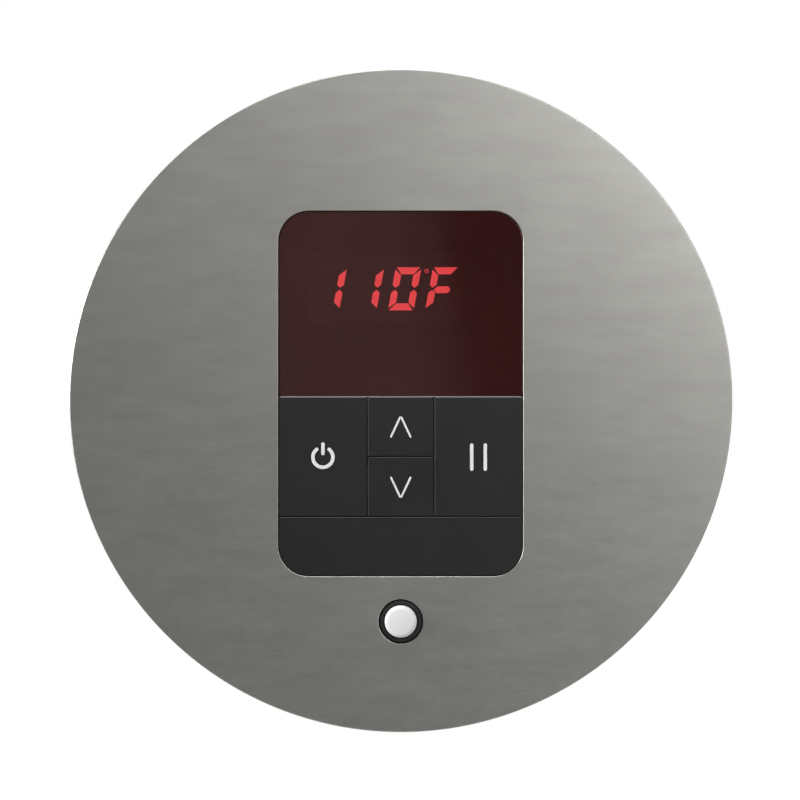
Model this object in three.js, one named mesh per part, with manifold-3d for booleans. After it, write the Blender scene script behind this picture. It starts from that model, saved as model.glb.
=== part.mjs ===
// A round wall controller for a steam room: a brushed metal pan that stands on the tiles, with a
// control module set in it (tinted display window, four keys, blank panel) and a temperature probe
// under the module. The module's rear housing goes into a rectangular hole in the wall.
//
// Millimetres. X runs to the right, Z up and Y into the wall. The wall's surface is the plane
// Y = 0, and the origin is the pan's centre on that plane, so all that a bather sees has Y < 0.

import * as THREE from 'three';
import { mergeVertices } from 'three/addons/utils/BufferGeometryUtils.js';
import Module from 'manifold-3d';

const wasm = await Module();
wasm.setup();

// ------------------------------------------------------------------- driving dimensions

const PAN = { radius: 70, depth: 9, skin: 1.5, edgeRadius: 0.3, lipInner: 63, lip: 1.2 };
const WALL_GASKET = { inner: 63.6, outer: 69.4, thickness: 1.5 };
const MODULE = { width: 51.75, height: 77.2, corner: 6.5, centreZ: 1.5 }; // the hole in the pan
const GAP = 0.15; // open joint round and between the module's front pieces
const WINDOW = { height: 39, thickness: 2.4, recess: 0.2 };
const KEY = { rowHeight: 25.2, sideWidth: 18.6, thickness: 2.2, recess: 0.1, chamfer: 0.15 };
const KEY_TRAVEL = 0.8;
const STEM = { radius: 2.5, footRadius: 3.2, footThickness: 0.6, clearance: 0.2 };
const SYMBOL = { thickness: 0.08, drop: 0.12 };
const POWER_SYMBOL = { radius: 2.15, stroke: 0.74, gap: 38, barBottom: 0.75, barTop: 2.75 };
const CHEVRON = { halfWidth: 2.06, halfHeight: 2.02, stroke: 0.42 };
const PAUSE_BARS = { fromCentre: 1.43, halfLength: 2.55, stroke: 0.72 };
const FRONT_SEAL = 0.5;
const FRAME = { width: 58, height: 82, corner: 4.5, thickness: 3.3, under: 0.4 };
const EAR = { x: 33, fromCentreZ: 22, radius: 4.2, thickness: 2, hole: 1.8 };
const BOARD = { width: 42.6, height: 66, corner: 3.5, front: -2, thickness: 1.6 };
const KEYPAD = { width: 42.4, height: 28, corner: 2, sheet: 0.8, rib: 0.8 };
const DOME = { base: 3.7, top: 3, wall: 1, aroundPill: 0.3 };
const PILL = { radius: 1.6, thickness: 0.48, fromBoard: KEY_TRAVEL + 0.02 };
const DISPLAY = { width: 32, height: 14.2, x: -3.1, z: 23.7, film: 0.2, behindWindow: 0.4, clearance: 0.4 };
const DIGIT = { pitch: 7.88, width: 5.44, height: 9.12, slant: 10.4, margin: { x: 0.3, z: 0.4 } };
const SEGMENT = { across: 1.48, upright: 1.42, mitre: 0.24, tipDrop: 0.5, shoulder: 0.85, slit: 0.22 };
const MIDDLE_SEGMENT = { z: -0.2, left: -1.73, right: 1.74, radius: 0.71 };
const FIGURES = ['bc', 'bc', 'abcdef', 'aefg']; // the lit segments of 1, 1, 0 and F
const DEGREE = { toTheLeft: 3.96, fromTop: 0.78, outer: 0.46, inner: 0.2, rim: 0.1 };
const HOUSING = { width: 47, height: 71, corner: 5.5, wall: 1.8, flange: 1.6, floor: 1.6, back: 16 };
const HOUSING_RIB = { height: 0.6, width: 1.4, pitch: 13, bottom: 3, top: 30, collar: 2.4 };
const SEAL = { width: 49.6, height: 73.6, corner: 7.5, section: 1.5, squeezed: 1.2, groove: 0.1 };
const HOUSING_SCREW = { shank: 1.25, head: 2.4, headHeight: 1.5, length: 4.2, pilot: 1.35, clearance: 1.45 };
const HOUSING_SCREW_PLACE = { x: 25, fromCentreZ: 37 };
const BOARD_SCREW = { shank: 1, head: 1.9, headHeight: 1.2, length: 5, clearance: 1.3 };
const BOARD_SCREW_PLACE = { x: 18.5, upperZ: 8, lowerZ: -28.7 };
const BOSS = { radius: 2.2, pilot: 1.15, depth: 4.6 };
const JACK = { width: 13.4, height: 11.6, z: -10, clearance: 0.3 };
const JACK_MOUTH = { width: 10, height: 7, depth: 12.5, latchWidth: 6, latchDepth: 1.6 };
const JACK_CONTACT = { pitch: 1.02, width: 0.4, thickness: 0.4, drop: 1.4, fromMouth: 2, ease: 0.3 };
const PROBE = { z: -46.6, hole: 4.7, head: 3.4, edge: 1, neck: 3, proud: 1.8, bore: 1.5, back: -4.5 };
const GROMMET = { collar: 4.6, flange: 6, flangeThickness: 1.1, recess: 0.2, clearance: 0.1 };
const WASHER = { radius: 6, thickness: 0.6, clearance: 0.15 };
const LEAD = { x: 0.55, radius: 0.4, hole: 1.5, y: -2.7, endZ: -30 };
const STUD = { radius: 1.5, base: 2.6, baseThickness: 0.5, end: -3.2 };
const NUT_CLEARANCE = 0.1;
const STUD_NUT = { acrossFlats: 5.5, height: 2.4 };
const PROBE_NUT = { acrossFlats: 11, height: 2.4 };
const CHIP = { left: -15, bottom: 15, size: 10, height: 1.4 };
const CAPACITOR = { x: 11, z: 20, radius: 3.15, back: 7.6 };
const LAP = 0.5; // how far one solid reaches into another that it is joined to
const BEYOND = 1; // how far a cutting tool reaches out of what it cuts

// ------------------------------------------------------------------- the stack of depths

const panFront = -(WALL_GASKET.thickness + PAN.depth);
const skinBack = panFront + PAN.skin;
const frameFront = skinBack + FRONT_SEAL;
const frameBack = frameFront + FRAME.thickness;
const windowFront = panFront + WINDOW.recess;
const windowBack = windowFront + WINDOW.thickness;
const keyFront = panFront + KEY.recess;
const keyBack = keyFront + KEY.thickness;
const deckFront = keyBack + KEY_TRAVEL + FRAME.under;
const stemEnd = frameBack + STEM.footThickness;
const boardBack = BOARD.front + BOARD.thickness;
const sheetFront = BOARD.front - KEYPAD.sheet;
const flangeBack = frameBack + HOUSING.flange;
const displayFront = windowBack + DISPLAY.behindWindow;
const earBack = frameFront + EAR.thickness;
const pillBack = BOARD.front - PILL.fromBoard;
const pilotFront = frameFront + 0.6; // a blind hole's end
const mouthFront = HOUSING.back - JACK_MOUTH.depth;
const mouthFloor = JACK.z - JACK_MOUTH.height / 2;
const mouthRoof = JACK.z + JACK_MOUTH.height / 2;
const washerFront = skinBack + GROMMET.flangeThickness;
const washerBack = washerFront + WASHER.thickness;

// ------------------------------------------------------------------- the module's front, in rows

const pieceWidth = MODULE.width - 2 * GAP;
const pieceCorner = MODULE.corner - GAP;
const windowTop = MODULE.centreZ + MODULE.height / 2 - GAP;
const windowBottom = windowTop - WINDOW.height;
const keysTop = windowBottom - GAP;
const keysBottom = keysTop - KEY.rowHeight;
const keysCentreZ = (keysTop + keysBottom) / 2;
const panelTop = keysBottom - GAP;
const panelBottom = MODULE.centreZ - MODULE.height / 2 + GAP;
const middleWidth = pieceWidth - 2 * KEY.sideWidth - 2 * GAP;
const halfRow = (KEY.rowHeight - GAP) / 2;
const sideKeyX = (pieceWidth - KEY.sideWidth) / 2;
const KEYS = {
  power: { x: -sideKeyX, z: keysCentreZ, width: KEY.sideWidth, height: KEY.rowHeight },
  up: { x: 0, z: keysTop - halfRow / 2, width: middleWidth, height: halfRow },
  down: { x: 0, z: keysBottom + halfRow / 2, width: middleWidth, height: halfRow },
  pause: { x: sideKeyX, z: keysCentreZ, width: KEY.sideWidth, height: KEY.rowHeight },
};

// ------------------------------------------------------------------- materials

const finish = (color, roughness, metalness = 0) =>
  new THREE.MeshStandardMaterial({ color, roughness, metalness });

const BRUSHED_METAL = finish(0x8f8e8a, 0.38, 1);
const STEEL = finish(0xb8b9bb, 0.3, 1);
const TINTED_ACRYLIC = finish(0x341c1c, 0.08);
const KEY_PLASTIC = finish(0x2d2d2d, 0.5);
const FRAME_PLASTIC = finish(0x1c1c1d, 0.55);
const SYMBOL_WHITE = finish(0xe6e6e6, 0.45);
const PROBE_WHITE = finish(0xeaeaea, 0.35);
const LIT_RED = new THREE.MeshStandardMaterial({ color: 0xe0403f, roughness: 0.5, emissive: 0xe0403f });
const DISPLAY_GREY = finish(0x252527, 0.6);
const RUBBER = finish(0x232425, 0.75);
const FOAM = finish(0x303132, 0.95);
const BOARD_GREEN = finish(0x1f5a38, 0.5);
const CHIP_BLACK = finish(0x17181a, 0.4);
const CAN_GREY = finish(0x9a9da3, 0.35, 1);
const CARBON = finish(0x101010, 0.7);
const GOLD = finish(0xc9a24a, 0.3, 1);
const LEAD_RED = finish(0x8e2a26, 0.5);
const LEAD_BLACK = finish(0x1b1b1b, 0.5);

// ------------------------------------------------------------------- shapes, drawn in X and Z

// A rounded rectangle. The corner radii are given for the top pair and for the bottom pair.
function roundedRectangle(x, z, width, height, topRadius, bottomRadius = topRadius) {
  const [left, right] = [x - width / 2, x + width / 2];
  const [bottom, top] = [z - height / 2, z + height / 2];
  const shape = new THREE.Shape();
  const corner = (cx, cz, radius, start) => {
    if (radius > 0) shape.absarc(cx, cz, radius, start, start + Math.PI / 2);
    else shape.lineTo(cx, cz);
  };
  shape.moveTo(left + bottomRadius, bottom);
  corner(right - bottomRadius, bottom + bottomRadius, bottomRadius, -Math.PI / 2);
  corner(right - topRadius, top - topRadius, topRadius, 0);
  corner(left + topRadius, top - topRadius, topRadius, Math.PI / 2);
  corner(left + bottomRadius, bottom + bottomRadius, bottomRadius, Math.PI);
  return shape;
}

function disc(x, z, radius) {
  const shape = new THREE.Shape();
  shape.absarc(x, z, radius, 0, 2 * Math.PI);
  return shape;
}

// A hexagon with one flat to the top.
function hexagon(x, z, acrossFlats) {
  const corner = acrossFlats / Math.sqrt(3);
  const points = Array.from({ length: 6 }, (_, n) => {
    const angle = (n * Math.PI) / 3;
    return new THREE.Vector2(x + corner * Math.cos(angle), z + corner * Math.sin(angle));
  });
  return new THREE.Shape(points);
}

// A straight stroke with round ends.
function stroke(x1, z1, x2, z2, width) {
  const angle = Math.atan2(z2 - z1, x2 - x1);
  const shape = new THREE.Shape();
  shape.absarc(x2, z2, width / 2, angle - Math.PI / 2, angle + Math.PI / 2);
  shape.absarc(x1, z1, width / 2, angle + Math.PI / 2, angle + 1.5 * Math.PI);
  return shape;
}

// A stroke with round ends along an arc, from one angle to a larger one.
function arcStroke(x, z, radius, width, start, end) {
  const shape = new THREE.Shape();
  const capAt = (angle, from) =>
    shape.absarc(x + radius * Math.cos(angle), z + radius * Math.sin(angle), width / 2, from, from + Math.PI);
  shape.absarc(x, z, radius + width / 2, start, end);
  capAt(end, end);
  shape.absarc(x, z, radius - width / 2, end, start, true);
  capAt(start, start + Math.PI);
  return shape;
}

// ------------------------------------------------------------------- solids

// A shape made thick along Y, from its front plane to its back plane. A chamfer breaks all its edges.
function slab(shape, front, back, { curve = 3, chamfer = 0 } = {}) {
  const geometry = new THREE.ExtrudeGeometry(shape, {
    depth: back - front - 2 * chamfer,
    curveSegments: curve,
    bevelEnabled: chamfer > 0,
    bevelThickness: chamfer,
    bevelSize: chamfer,
    bevelOffset: -chamfer,
    bevelSegments: 1,
  });
  const toRow = new THREE.Matrix4().set(1, 0, 0, 0, 0, 0, -1, back - chamfer, 0, 1, 0, 0, 0, 0, 0, 1);
  return geometry.applyMatrix4(toRow);
}

// A turned piece round a line along Y. Its profile lists [radius, y], with Y falling on the outside;
// the lathe wants it the other way round.
function turned(x, z, profile, segments = 16) {
  const points = profile.map(([radius, y]) => new THREE.Vector2(radius, y)).reverse();
  return new THREE.LatheGeometry(points, segments).translate(x, 0, z);
}

// A round tube along a smooth curve through the points.
function tubeAlong(points, radius, steps) {
  const section = new THREE.Shape();
  section.absarc(0, 0, radius, 0, 2 * Math.PI);
  const path = new THREE.CatmullRomCurve3(points.map((p) => new THREE.Vector3(...p)), false, 'centripetal');
  return new THREE.ExtrudeGeometry(section, { steps, curveSegments: 3, extrudePath: path });
}

function box(x1, x2, y1, y2, z1, z2) {
  const geometry = new THREE.BoxGeometry(x2 - x1, y2 - y1, z2 - z1);
  return geometry.translate((x1 + x2) / 2, (y1 + y2) / 2, (z1 + z2) / 2);
}

function solidOf(geometry) {
  const bare = geometry.clone();
  bare.deleteAttribute('normal');
  bare.deleteAttribute('uv');
  const merged = mergeVertices(bare, 1e-4);
  const vertProperties = new Float32Array(merged.attributes.position.array);
  return new wasm.Manifold(
    new wasm.Mesh({ numProp: 3, vertProperties, triVerts: new Uint32Array(merged.index.array) }),
  );
}

function geometryOf(solid) {
  const mesh = solid.getMesh();
  const geometry = new THREE.BufferGeometry();
  geometry.setAttribute('position', new THREE.BufferAttribute(mesh.vertProperties, 3));
  geometry.setIndex(new THREE.BufferAttribute(mesh.triVerts, 1));
  geometry.computeVertexNormals();
  return geometry;
}

const joined = (...geometries) => geometryOf(geometries.map(solidOf).reduce((a, b) => a.add(b)));
const cut = (geometry, ...tools) =>
  geometryOf(tools.map(solidOf).reduce((a, b) => a.subtract(b), solidOf(geometry)));

// Two mirrored X places at two Z places: where the screws and studs go in fours.
const fourPlaces = (x, upperZ, lowerZ) => [
  [-x, upperZ],
  [x, upperZ],
  [-x, lowerZ],
  [x, lowerZ],
];
const aroundModule = (x, fromCentre) =>
  fourPlaces(x, MODULE.centreZ + fromCentre, MODULE.centreZ - fromCentre);
const studPlaces = aroundModule(EAR.x, EAR.fromCentreZ);
const housingScrewPlaces = aroundModule(HOUSING_SCREW_PLACE.x, HOUSING_SCREW_PLACE.fromCentreZ);
const boardScrewPlaces = fourPlaces(BOARD_SCREW_PLACE.x, BOARD_SCREW_PLACE.upperZ, BOARD_SCREW_PLACE.lowerZ);

// ------------------------------------------------------------------- the object

const controller = new THREE.Group();

function add(name, geometry, material) {
  const mesh = new THREE.Mesh(geometry, material);
  mesh.name = name;
  controller.add(mesh);
}

const moduleHole = roundedRectangle(0, MODULE.centreZ, MODULE.width, MODULE.height, MODULE.corner);
const frameOutline = roundedRectangle(0, MODULE.centreZ, FRAME.width, FRAME.height, FRAME.corner);

// The cord seal's middle line moved outwards by a distance, the keypad's edge moved inwards, and the
// display's edge moved outwards.
const sealOutline = (out) =>
  roundedRectangle(0, MODULE.centreZ, SEAL.width + 2 * out, SEAL.height + 2 * out, SEAL.corner + out);
const keypadOutline = (inwards, corner = KEYPAD.corner) =>
  roundedRectangle(0, keysCentreZ, KEYPAD.width - 2 * inwards, KEYPAD.height - 2 * inwards, corner);
const displayOutline = (out) =>
  roundedRectangle(DISPLAY.x, DISPLAY.z, DISPLAY.width + 2 * out, DISPLAY.height + 2 * out, 0.5);

// The pan: a flat front skin, a rim with rounded edges and a lip turned in behind, with the
// module's hole and the probe's hole cut through the skin.
function pan() {
  const { radius, edgeRadius, lipInner, lip, skin } = PAN;
  const back = -WALL_GASKET.thickness;
  const roundedEdge = (edgeY, steps, from) =>
    Array.from({ length: steps + 1 }, (_, n) => {
      const angle = from - (n / steps) * (Math.PI / 2);
      return [radius - edgeRadius + edgeRadius * Math.cos(angle), edgeY + edgeRadius * Math.sin(angle)];
    });
  const profile = [
    [0, skinBack],
    [radius - skin, skinBack],
    [radius - skin, back - lip],
    [lipInner, back - lip],
    [lipInner, back],
    ...roundedEdge(back - edgeRadius, 1, Math.PI / 2),
    ...roundedEdge(panFront + edgeRadius, 2, 0),
    [0, panFront],
  ];
  const [front, behind] = [panFront - BEYOND, skinBack + BEYOND];
  return cut(
    turned(0, 0, profile, 80),
    slab(moduleHole, front, behind, { curve: 4 }),
    slab(disc(0, PROBE.z, PROBE.hole), front, behind, { curve: 12 }),
  );
}

// A closed foam ring, flat on the tiles, under the pan's lip.
function wallGasket() {
  const ring = disc(0, 0, WALL_GASKET.outer);
  ring.holes.push(disc(0, 0, WALL_GASKET.inner));
  return slab(ring, -WALL_GASKET.thickness, 0, { curve: 36 });
}

// The thin ring that keeps water from getting between the pan and the module frame.
function frontSeal() {
  const ring = frameOutline.clone();
  ring.holes.push(moduleHole);
  return slab(ring, skinBack, frameFront);
}

// A stud welded to the back of the pan's skin.
const stud = (x, z) =>
  turned(x, z, [
    [0, STUD.end],
    [STUD.radius, STUD.end],
    [STUD.radius, skinBack + STUD.baseThickness],
    [STUD.base, skinBack + STUD.baseThickness],
    [STUD.base, skinBack],
    [0, skinBack],
  ]);

function nut(x, z, front, { acrossFlats, height }, thread) {
  const outline = hexagon(x, z, acrossFlats);
  outline.holes.push(disc(x, z, thread + NUT_CLEARANCE));
  return slab(outline, front, front + height, { curve: 6 });
}

// The module frame: a moulded plate with stepped pockets for the window, the keys and the blank
// panel, openings for the display and the key stems, a seal groove, four ears and the ribs and
// bosses that the keypad and the board are held by.
function moduleFrame() {
  const bossFront = frameBack - LAP;
  const ears = studPlaces.flatMap(([x, z]) => {
    const side = Math.sign(x);
    const root = side * (FRAME.width / 2 - LAP);
    return [
      slab(disc(x, z, EAR.radius), frameFront, earBack, { curve: 8 }),
      box(Math.min(x, root), Math.max(x, root), frameFront, earBack, z - EAR.radius, z + EAR.radius),
    ];
  });
  const bosses = boardScrewPlaces.map(([x, z]) =>
    slab(disc(x, z, BOSS.radius), bossFront, BOARD.front, { curve: 6 }),
  );
  const { rib, corner } = KEYPAD;
  const keypadRib = keypadOutline(0);
  keypadRib.holes.push(keypadOutline(rib, corner - rib));
  const body = joined(
    slab(frameOutline, frameFront, frameBack),
    ...ears,
    ...bosses,
    slab(keypadRib, bossFront, sheetFront, { curve: 2 }),
  );

  const [front, back] = [frameFront - BEYOND, frameBack + BEYOND];
  const cutoutTop = MODULE.centreZ + MODULE.height / 2;
  const cutoutBottom = MODULE.centreZ - MODULE.height / 2;
  const pocket = (top, bottom, topRadius, bottomRadius, depth) => {
    const centreZ = (top + bottom) / 2;
    const outline = roundedRectangle(0, centreZ, MODULE.width, top - bottom, topRadius, bottomRadius);
    return slab(outline, front, depth);
  };
  const groove = sealOutline(SEAL.section / 2 + SEAL.groove);
  groove.holes.push(sealOutline(-SEAL.section / 2 - SEAL.groove));
  const displayHole = displayOutline(DISPLAY.clearance);
  const hole = (x, z, radius, from, to) => slab(disc(x, z, radius), from, to, { curve: 5 });
  return cut(
    body,
    pocket(cutoutTop, windowBottom - GAP / 2, MODULE.corner, 0, windowBack),
    pocket(keysTop + GAP / 2, keysBottom - GAP / 2, 0, 0, deckFront),
    pocket(panelTop + GAP / 2, cutoutBottom, 0, MODULE.corner, keyBack),
    slab(groove, frameBack - SEAL.squeezed, back),
    slab(displayHole, front, back, { curve: 1 }),
    ...Object.values(KEYS).map(({ x, z }) => hole(x, z, STEM.radius + STEM.clearance, front, back)),
    ...studPlaces.map(([x, z]) => hole(x, z, EAR.hole, front, frameBack)),
    ...housingScrewPlaces.map(([x, z]) => hole(x, z, HOUSING_SCREW.pilot, pilotFront, back)),
    ...boardScrewPlaces.map(([x, z]) => hole(x, z, BOSS.pilot, BOARD.front - BOSS.depth, boardBack)),
  );
}

function displayWindow() {
  const z = (windowTop + windowBottom) / 2;
  const outline = roundedRectangle(0, z, pieceWidth, WINDOW.height, pieceCorner, 0);
  return slab(outline, windowFront, windowBack, { curve: 5 });
}

function blankPanel() {
  const height = panelTop - panelBottom;
  const outline = roundedRectangle(0, (panelTop + panelBottom) / 2, pieceWidth, height, 0, pieceCorner);
  return slab(outline, keyFront, keyBack, { curve: 5, chamfer: KEY.chamfer });
}

// A key: a flat cap with chamfered edges, and a stem that goes through the frame and ends in a
// foot, which rests against the back of the frame and stops the key from falling out.
function keycap({ x, z, width, height }) {
  const head = slab(roundedRectangle(x, z, width, height, 0), keyFront, keyBack, { chamfer: KEY.chamfer });
  const stem = turned(x, z, [
    [0, stemEnd],
    [STEM.footRadius, stemEnd],
    [STEM.footRadius, frameBack],
    [STEM.radius, frameBack],
    [STEM.radius, keyBack - LAP],
    [0, keyBack - LAP],
  ]);
  return joined(head, stem);
}

// The white symbols stand on the key faces as a thin raised layer, a little under the keys' centres.
const raisedOnKey = (shape, curve = 2) => slab(shape, keyFront - SYMBOL.thickness, keyFront, { curve });

function powerSymbol({ x, z }) {
  const { radius, gap, barBottom, barTop } = POWER_SYMBOL;
  const open = THREE.MathUtils.degToRad(gap);
  const [start, end] = [Math.PI / 2 + open, 2.5 * Math.PI - open];
  const ring = arcStroke(x, z, radius, POWER_SYMBOL.stroke, start, end);
  const bar = stroke(x, z + barBottom, x, z + barTop, POWER_SYMBOL.stroke);
  return [raisedOnKey(ring, 7), raisedOnKey(bar)];
}

// A chevron that points up (way = 1) or down (way = -1).
function chevron({ x, z }, way) {
  const [tip, tail] = [z + way * CHEVRON.halfHeight, z - way * CHEVRON.halfHeight];
  const leg = (side) => raisedOnKey(stroke(x, tip, x + side * CHEVRON.halfWidth, tail, CHEVRON.stroke));
  return joined(leg(-1), leg(1));
}

function pauseBar({ x, z }, side) {
  const { fromCentre, halfLength } = PAUSE_BARS;
  const barX = x + side * fromCentre;
  return raisedOnKey(stroke(barX, z - halfLength, barX, z + halfLength, PAUSE_BARS.stroke));
}

// The silicone keypad: one sheet on the board, with a hollow dome under each key stem.
function rubberKeypad() {
  const sheet = slab(keypadOutline(0), sheetFront, BOARD.front, { curve: 2 });
  const places = Object.values(KEYS);
  const lap = KEYPAD.sheet / 8;
  const outside = places.map(({ x, z }) =>
    turned(x, z, [
      [0, BOARD.front - lap],
      [DOME.base, BOARD.front - lap],
      [DOME.base, sheetFront - lap],
      [DOME.top, stemEnd],
      [0, stemEnd],
    ]),
  );
  const inside = places.map(({ x, z }) =>
    turned(x, z, [
      [0, BOARD.front + BEYOND],
      [DOME.base - DOME.wall, BOARD.front + BEYOND],
      [DOME.base - DOME.wall, BOARD.front],
      [PILL.radius + DOME.aroundPill, pillBack - PILL.thickness],
      [0, pillBack - PILL.thickness],
    ]),
  );
  return cut(joined(sheet, ...outside), ...inside);
}

// The carbon pill inside each dome, which closes the key's contact on the board.
const contactPill = ({ x, z }) =>
  slab(disc(x, z, PILL.radius), pillBack - PILL.thickness, pillBack, { curve: 6 });

// The seven segments of a figure eight. Those in the top and bottom rows have mitred ends, the ones
// at the sides a mitred end and a pointed one, and the middle one has a pointed and a round end.
const SEGMENTS = {
  a: { row: 1 },
  b: { side: 1, half: 1 },
  c: { side: 1, half: -1 },
  d: { row: -1 },
  e: { side: -1, half: -1 },
  f: { side: -1, half: 1 },
  g: { row: 0 },
};

// One segment's outline before the slant, round the figure's centre.
function segmentPoints({ row, side, half }) {
  const [w, h] = [DIGIT.width / 2, DIGIT.height / 2];
  const { across, upright, mitre, tipDrop, shoulder, slit } = SEGMENT;
  const inner = w - upright;
  if (row === 0) {
    const { z, left, right, radius } = MIDDLE_SEGMENT;
    const roundEnd = new THREE.Path().absarc(right - radius, z, radius, -Math.PI / 2, Math.PI / 2);
    const pointedEnd = [[left + radius, z + radius], [left, z], [left + radius, z - radius]];
    return [...roundEnd.getPoints(4).map((point) => point.toArray()), ...pointedEnd];
  }
  if (row) {
    const [outer, low] = [w - mitre, h - across];
    return [[-outer, row * h], [-inner, row * low], [inner, row * low], [outer, row * h]];
  }
  return [
    [side * w, half * (h - tipDrop)],
    [side * inner, half * (h - across - slit)],
    [side * inner, half * shoulder],
    [side * (w - upright / 2), half * slit],
    [side * w, half * shoulder],
  ];
}

const lean = Math.tan(THREE.MathUtils.degToRad(DIGIT.slant));
const slanted = (digitX, [x, z]) => new THREE.Vector2(digitX + x + z * lean, DISPLAY.z + z);

function shapeOf(points) {
  return new THREE.Shape(THREE.ShapeUtils.isClockWise(points) ? [...points].reverse() : points);
}

// The light guide of one digit: a film on the display's face with the lit segments standing on it.
function digitGuide(x, lit, withDegree) {
  const halfWidth = DIGIT.width / 2 + DIGIT.margin.x;
  const halfHeight = DIGIT.height / 2 + DIGIT.margin.z;
  const left = withDegree ? -(DEGREE.toTheLeft + DEGREE.outer + DEGREE.rim) : -halfWidth;
  const bottom = [[left, -halfHeight], [halfWidth, -halfHeight]];
  const top = [[halfWidth, halfHeight], [left, halfHeight]];
  const film = shapeOf([...bottom, ...top].map((corner) => slanted(x, corner)));
  const filmFront = displayFront + DISPLAY.film;
  const raised = (shape, curve) => slab(shape, displayFront, filmFront + DISPLAY.film / 2, { curve });
  const parts = [...lit].map((name) =>
    raised(shapeOf(segmentPoints(SEGMENTS[name]).map((point) => slanted(x, point)))),
  );
  if (withDegree) {
    const { toTheLeft, fromTop, outer, inner } = DEGREE;
    const centre = slanted(x, [-toTheLeft, DIGIT.height / 2 - fromTop]);
    const ring = disc(centre.x, centre.y, outer);
    ring.holes.push(disc(centre.x, centre.y, inner));
    parts.push(raised(ring, 4));
  }
  return joined(slab(film, filmFront, filmFront + DISPLAY.film), ...parts);
}

function displayBody() {
  return slab(displayOutline(0), displayFront + 2 * DISPLAY.film, BOARD.front, { curve: 1 });
}

function mainBoard() {
  const outline = roundedRectangle(0, MODULE.centreZ, BOARD.width, BOARD.height, BOARD.corner);
  for (const [x, z] of boardScrewPlaces) outline.holes.push(disc(x, z, BOARD_SCREW.clearance));
  return slab(outline, BOARD.front, boardBack, { curve: 4 });
}

// A pan-head screw driven from behind: its head stands at Y > seat and its shank goes forward.
function screw(x, z, seat, { shank, head, headHeight, length }) {
  const [flat, shoulder] = [head * 0.7, headHeight * 0.55];
  const profile = [
    [0, seat + headHeight],
    [flat, seat + headHeight],
    [head, seat + shoulder],
    [head, seat],
    [shank, seat],
    [shank, seat - length + shank],
    [0, seat - length],
  ];
  const [reach, half] = [head * 0.62, head * 0.14];
  const [bottom, top] = [seat + headHeight * 0.35, seat + headHeight + BEYOND];
  const crossRecess = joined(
    box(x - reach, x + reach, bottom, top, z - half, z + half),
    box(x - half, x + half, bottom, top, z - reach, z + reach),
  );
  return cut(turned(x, z, profile, 12), crossRecess);
}

// The modular cable jack on the back of the board. Its mouth is flush with the housing's back.
function cableJack() {
  const [w, h] = [JACK.width / 2, JACK.height / 2];
  const [mouth, latch] = [JACK_MOUTH.width / 2, JACK_MOUTH.latchWidth / 2];
  const outside = HOUSING.back + BEYOND;
  return cut(
    box(-w, w, boardBack, HOUSING.back, JACK.z - h, JACK.z + h),
    box(-mouth, mouth, mouthFront, outside, mouthFloor, mouthRoof),
    box(-latch, latch, mouthFront, outside, mouthFloor - JACK_MOUTH.latchDepth, mouthFloor + LAP),
  );
}

// A spring contact: a slanted wire under the roof of the jack's mouth.
function jackContact(x) {
  const { width, thickness, drop, fromMouth, ease } = JACK_CONTACT;
  const back = HOUSING.back - fromMouth;
  const wire = new THREE.Shape();
  wire.moveTo(mouthFront, mouthRoof - drop - thickness);
  wire.lineTo(back, mouthRoof - ease);
  wire.lineTo(back, mouthRoof);
  wire.lineTo(mouthFront, mouthRoof - drop);
  const side = new THREE.ExtrudeGeometry(wire, { depth: width, bevelEnabled: false });
  const toRow = new THREE.Matrix4().set(0, 0, 1, x - width / 2, 1, 0, 0, 0, 0, 1, 0, 0, 0, 0, 0, 1);
  return side.applyMatrix4(toRow);
}

// The rear housing: a tub with a flange on its open front, screw holes in the flange's corners,
// an opening for the jack with a raised collar, a hole for the probe's leads and ribs behind.
function rearHousing() {
  const { width, height, corner, wall, floor, back } = HOUSING;
  const z = MODULE.centreZ;
  const floorBack = back - HOUSING_RIB.height;
  const floorFront = floorBack - floor;
  const jackHole = (out) => {
    const [w, h] = [JACK.width + 2 * (JACK.clearance + out), JACK.height + 2 * (JACK.clearance + out)];
    return roundedRectangle(0, JACK.z, w, h, out / 2);
  };
  const ribs = [-1, 0, 1].map((place) => {
    const [x, half] = [place * HOUSING_RIB.pitch, HOUSING_RIB.width / 2];
    return box(x - half, x + half, floorFront, back, HOUSING_RIB.bottom, HOUSING_RIB.top);
  });
  const shell = joined(
    slab(frameOutline, frameBack, flangeBack),
    slab(roundedRectangle(0, z, width, height, corner), frameBack, floorBack),
    slab(jackHole(HOUSING_RIB.collar), floorFront, back, { curve: 2 }),
    ...ribs,
  );
  const inner = roundedRectangle(0, z, width - 2 * wall, height - 2 * wall, corner - wall);
  const leadHole = new THREE.CylinderGeometry(LEAD.hole, LEAD.hole, 2 * wall, 12);
  return cut(
    shell,
    slab(inner, frameBack - BEYOND, floorFront),
    slab(jackHole(0), floorFront - BEYOND, back + BEYOND),
    leadHole.translate(0, LEAD.y, z - height / 2 + wall / 2),
    ...housingScrewPlaces.map(([x, screwZ]) =>
      slab(disc(x, screwZ, HOUSING_SCREW.clearance), frameBack - BEYOND, flangeBack + BEYOND, { curve: 5 }),
    ),
  );
}

// The cord seal squeezed into the frame's groove by the housing's flange.
function housingSeal() {
  const ring = sealOutline(SEAL.section / 2);
  ring.holes.push(sealOutline(-SEAL.section / 2));
  return slab(ring, frameBack - SEAL.squeezed, frameBack);
}

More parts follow.
